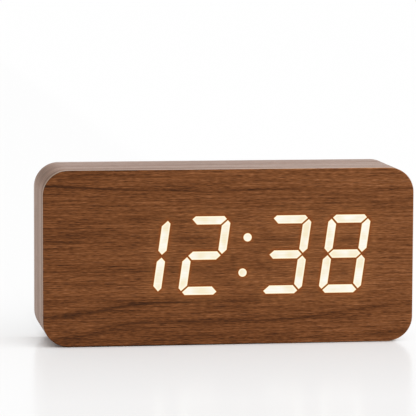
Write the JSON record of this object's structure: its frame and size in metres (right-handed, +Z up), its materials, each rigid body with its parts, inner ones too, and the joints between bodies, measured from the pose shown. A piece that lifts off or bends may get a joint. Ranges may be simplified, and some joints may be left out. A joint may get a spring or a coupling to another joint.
{
  "type": "wooden LED clock",
  "caption": "Free-standing block clock in walnut veneer with rounded corners; slanted warm-white seven-segment figures shine through the front; rear panel with battery door.",
  "frame": {"origin": "under the middle of the block, on the surface that its feet stand on", "axes": "+X along the block's width to the viewer's right, +Y from the lit front to the back, +Z up"},
  "size_m": [0.15, 0.04, 0.0707],
  "materials": {
    "walnut_veneer": "oiled walnut veneer, satin, fine dark pores along the grain",
    "lit_veneer": "the same veneer, thinned and lit warm white from behind",
    "mdf_core": "bare fibreboard, matt",
    "foot_rubber": "matt black pad",
    "white_film": "matt film",
    "white_plastic": "moulded, light-reflecting white",
    "led_resin": "phosphor resin",
    "circuit_board": "green solder mask",
    "screw_steel": "nickel-plated steel",
    "chip_resin": "matt resin",
    "tinned_metal": "tin plate",
    "cell_steel": "brushed stainless",
    "black_plastic": "moulded, matt",
    "capacitor_sleeve": "shrink sleeve",
    "panel_plastic": "moulded, fine spark-eroded texture",
    "cell_jacket": "plain printed jacket with no lettering",
    "red_insulation": "smooth",
    "black_insulation": "smooth",
    "grey_insulation": "ribbed along the wires",
    "button_plastic": "moulded, satin"
  },
  "bodies": {
    "case": {"case_body": "mdf_core", "corner_blocks": "mdf_core", "side_veneer": "walnut_veneer", "front_veneer": "walnut_veneer", "lit_segments": "lit_veneer", "rubber_feet": "foot_rubber", "diffuser_film": "white_film", "segment_reflector": "white_plastic", "led_chips": "led_resin", "display_board": "circuit_board", "button_board": "circuit_board", "display_board_screws": "screw_steel", "back_panel_screws": "screw_steel", "button_board_screws": "screw_steel", "controller_chip": "chip_resin", "clock_chip": "chip_resin", "resistors": "chip_resin", "controller_leads": "tinned_metal", "clock_chip_leads": "tinned_metal", "quartz_crystal": "tinned_metal", "backup_cell_clip": "tinned_metal", "battery_contacts": "tinned_metal", "battery_springs": "tinned_metal", "usb_socket": "tinned_metal", "backup_cell": "cell_steel", "backup_cell_holder": "black_plastic", "buzzer": "black_plastic", "switch_housings": "black_plastic", "usb_tongue": "black_plastic", "capacitors": "capacitor_sleeve", "back_panel": "panel_plastic", "battery_cell_top": "cell_jacket", "battery_cell_middle": "cell_jacket", "battery_cell_bottom": "cell_jacket", "battery_lead_red": "red_insulation", "battery_lead_black": "black_insulation", "ribbon_cable": "grey_insulation", "ribbon_plugs": "white_plastic"},
    "battery_door": {"battery_door": "panel_plastic"},
    "set_button": {"set_button": "button_plastic", "set_plunger": "black_plastic"},
    "up_button": {"up_button": "button_plastic", "up_plunger": "black_plastic"},
    "down_button": {"down_button": "button_plastic", "down_plunger": "black_plastic"}
  },
  "joints": [
    {"name": "battery_door_swing", "type": "hinge", "parent": "case", "child": "battery_door", "pos_m": [-0.03045, 0.01805, 0.01875], "axis": [-1, 0, 0], "range_deg": [0, 60]},
    {"name": "set_button_press", "type": "slide", "parent": "case", "child": "set_button", "axis": [0, -1, 0], "range_m": [0, 0.0005], "stiffness_N_per_m": 1200, "springref_m": -0.001},
    {"name": "up_button_press", "type": "slide", "parent": "case", "child": "up_button", "axis": [0, -1, 0], "range_m": [0, 0.0005], "stiffness_N_per_m": 1200, "springref_m": -0.001},
    {"name": "down_button_press", "type": "slide", "parent": "case", "child": "down_button", "axis": [0, -1, 0], "range_m": [0, 0.0005], "stiffness_N_per_m": 1200, "springref_m": -0.001}
  ]
}
